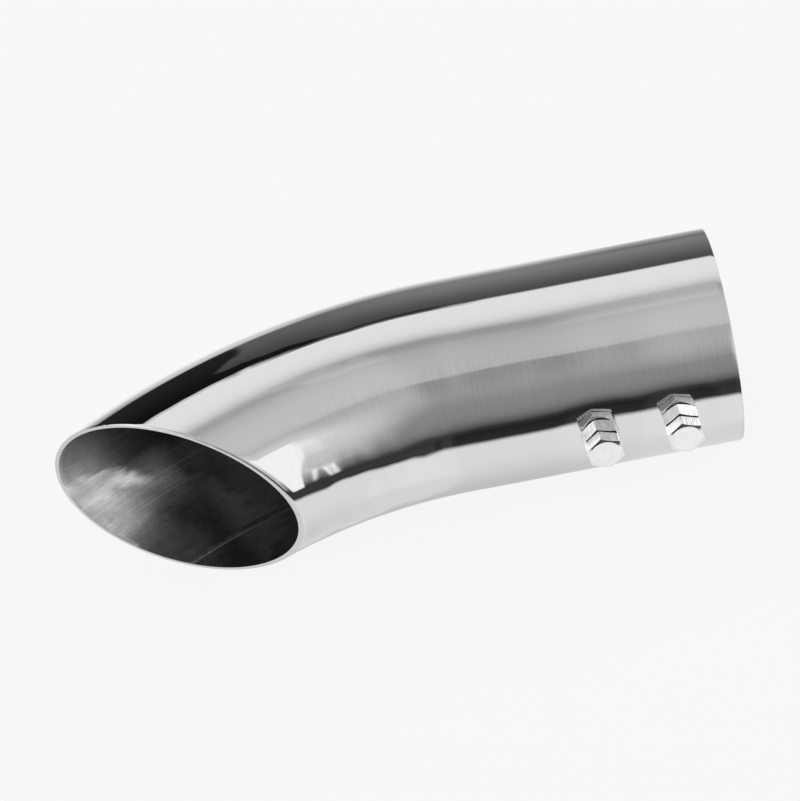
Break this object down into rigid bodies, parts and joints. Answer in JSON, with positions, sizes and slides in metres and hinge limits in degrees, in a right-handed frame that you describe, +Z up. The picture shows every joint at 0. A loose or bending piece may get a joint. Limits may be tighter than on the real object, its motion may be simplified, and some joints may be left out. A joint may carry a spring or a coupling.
{
  "type": "exhaust tip",
  "caption": "Bent slip-on exhaust tip of polished stainless tube with a slash-cut mouth and clamp bolts in nuts welded on beside the inlet.",
  "frame": {"origin": "centre of the inlet bore on the inlet's end face", "axes": "+X along the inlet bore, out of the inlet; +Z up, square to the plane of the bend, with the tube lying on its side; the tube bends towards -Y"},
  "size_m": [0.1998, 0.0734, 0.0634],
  "materials": {
    "polished_stainless": "mirror-polished stainless steel with faint polishing lines round the tube, dull mill finish inside",
    "nut_steel": "bright stainless steel",
    "bolt_steel": "bright stainless steel"
  },
  "bodies": {
    "tip": {"tip_tube": "polished_stainless", "weld_nut_near_inlet": "nut_steel", "weld_nut_near_bend": "nut_steel"},
    "bolt_near_inlet": {"clamp_bolt_near_inlet": "bolt_steel"},
    "bolt_near_bend": {"clamp_bolt_near_bend": "bolt_steel"}
  },
  "joints": [
    {"name": "clamp_screw_near_inlet", "type": "slide", "parent": "tip", "child": "bolt_near_inlet", "axis": [0, -0.9934, 0.1149], "range_m": [-0.00025, 0.005]},
    {"name": "clamp_screw_near_bend", "type": "slide", "parent": "tip", "child": "bolt_near_bend", "axis": [0, -0.9934, 0.1149], "range_m": [-0.00025, 0.005]}
  ]
}
